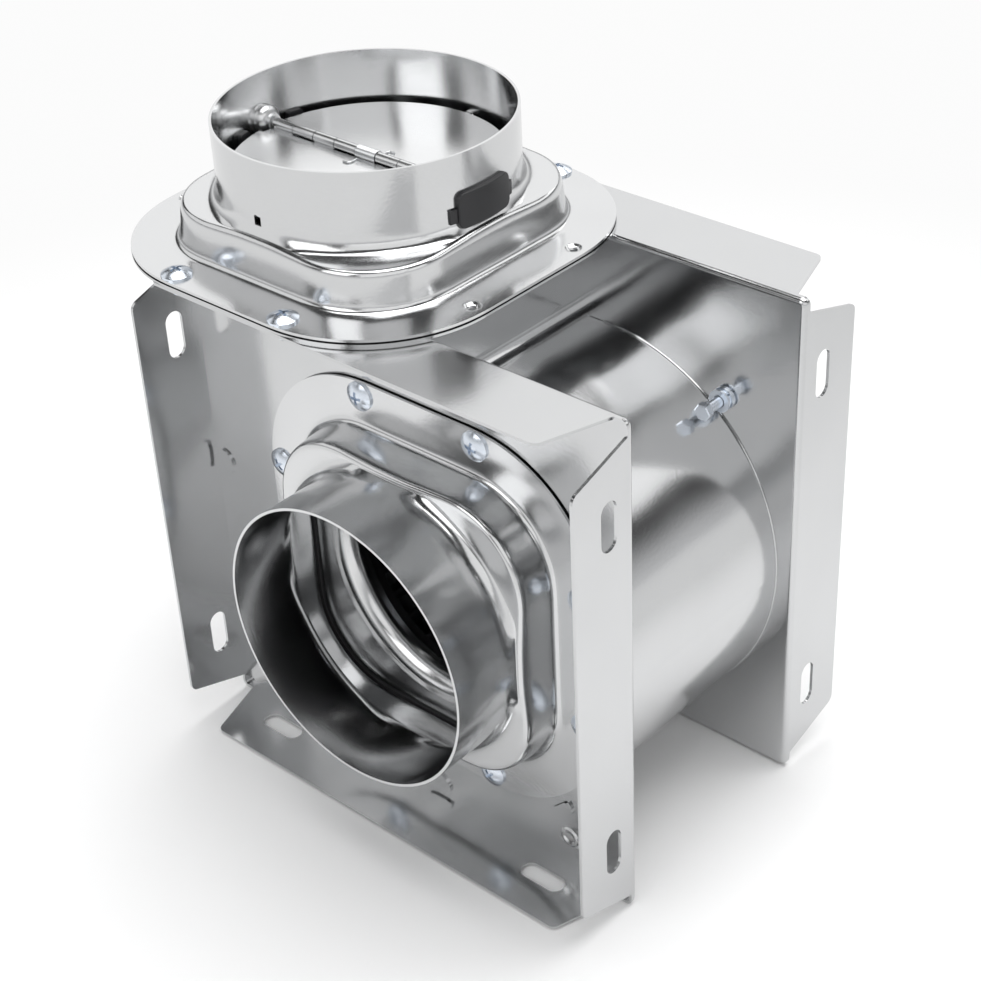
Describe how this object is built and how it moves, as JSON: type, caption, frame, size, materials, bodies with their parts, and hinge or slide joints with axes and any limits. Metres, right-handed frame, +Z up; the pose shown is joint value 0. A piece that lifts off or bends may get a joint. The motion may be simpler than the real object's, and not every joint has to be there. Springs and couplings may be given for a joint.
{
  "type": "inline centrifugal extractor fan",
  "caption": "Square-panel centrifugal duct fan for a bathroom, with a round inlet collar in front and a round outlet collar with a two-flap damper on top.",
  "frame": {"origin": "middle of the bounding box's floor, in the plane of the bottom mounting flanges", "axes": "+Z up along the outlet duct, -Y out of the inlet duct, +X to the right as seen from the inlet"},
  "size_m": [0.2084, 0.1532, 0.225],
  "materials": {
    "sheet_steel": "galvanised, semi-gloss",
    "collar_steel": "galvanised, glossy",
    "spun_steel": "galvanised, satin",
    "zinc_plate": "blue zinc plated",
    "damper_aluminium": "mill finish",
    "spring_steel": "bright drawn wire",
    "bush_plastic": "silver grey, satin",
    "clip_plastic": "black moulded, semi-gloss",
    "impeller_plastic": "black moulded",
    "motor_steel": "black enamel",
    "shaft_steel": "ground steel",
    "laminations": "stacked laminations",
    "copper": "enamelled copper wire",
    "bronze": "sintered bronze",
    "black_rubber": "moulded rubber",
    "foam": "closed-cell foam",
    "box_plastic": "light grey, matt",
    "black_plastic": "black, matt",
    "cable_sheath": "light grey sheath"
  },
  "bodies": {
    "casing": {"front_plate": "sheet_steel", "back_plate": "sheet_steel", "scroll_wrap": "sheet_steel", "outlet_plate": "sheet_steel", "inlet_ring": "spun_steel", "inlet_gasket": "foam", "outlet_gasket": "foam", "inlet_collar": "collar_steel", "outlet_collar": "collar_steel", "inlet_screws": "zinc_plate", "outlet_screws": "zinc_plate", "damper_rod": "spring_steel", "damper_bush_left": "bush_plastic", "damper_bush_right": "bush_plastic", "damper_spring": "spring_steel", "damper_cover_left": "clip_plastic", "damper_cover_right": "clip_plastic", "motor_front_cap": "motor_steel", "motor_rear_cap": "motor_steel", "stator_core": "laminations", "stator_winding": "copper", "front_bearing": "bronze", "rear_bearing": "bronze", "motor_plate": "sheet_steel", "motor_plate_screws": "zinc_plate", "motor_mounts": "black_rubber", "motor_mount_screws": "zinc_plate", "terminal_box": "box_plastic", "terminal_box_lid": "box_plastic", "lid_screws": "zinc_plate", "box_screws": "zinc_plate", "terminal_block": "black_plastic", "cable_gland": "black_plastic", "capacitor": "black_plastic", "capacitor_bracket": "sheet_steel", "capacitor_screw": "zinc_plate", "motor_lead": "cable_sheath", "capacitor_lead": "cable_sheath", "lead_grommets": "black_rubber", "earth_bolt": "zinc_plate", "earth_spring_washer": "zinc_plate", "earth_washers": "zinc_plate", "earth_nut": "zinc_plate"},
    "flap_front": {"damper_flap_front": "damper_aluminium", "spring_leg_front": "spring_steel"},
    "flap_back": {"damper_flap_back": "damper_aluminium", "spring_leg_back": "spring_steel"},
    "rotor": {"motor_shaft": "shaft_steel", "rotor_core": "laminations", "impeller": "impeller_plastic", "impeller_hub": "impeller_plastic", "impeller_bush": "bronze", "impeller_nut": "zinc_plate"}
  },
  "joints": [
    {"name": "flap_front_hinge", "type": "hinge", "parent": "casing", "child": "flap_front", "pos_m": [-0.0352, 0.0076, 0.2088], "axis": [-1, 0, 0], "range_deg": [0, 80], "stiffness_Nm_per_rad": 0.003, "springref_deg": -17.19},
    {"name": "flap_back_hinge", "type": "hinge", "parent": "casing", "child": "flap_back", "pos_m": [-0.0352, 0.0076, 0.2088], "axis": [1, 0, 0], "range_deg": [0, 80], "stiffness_Nm_per_rad": 0.003, "springref_deg": -17.19},
    {"name": "impeller_spin", "type": "hinge", "parent": "casing", "child": "rotor", "pos_m": [0.0222, 0.0076, 0.0889], "axis": [0, 1, 0], "continuous": true}
  ],
  "couplings": [
    {"joint": "flap_back_hinge", "follows": "flap_front_hinge", "ratio": 1}
  ]
}
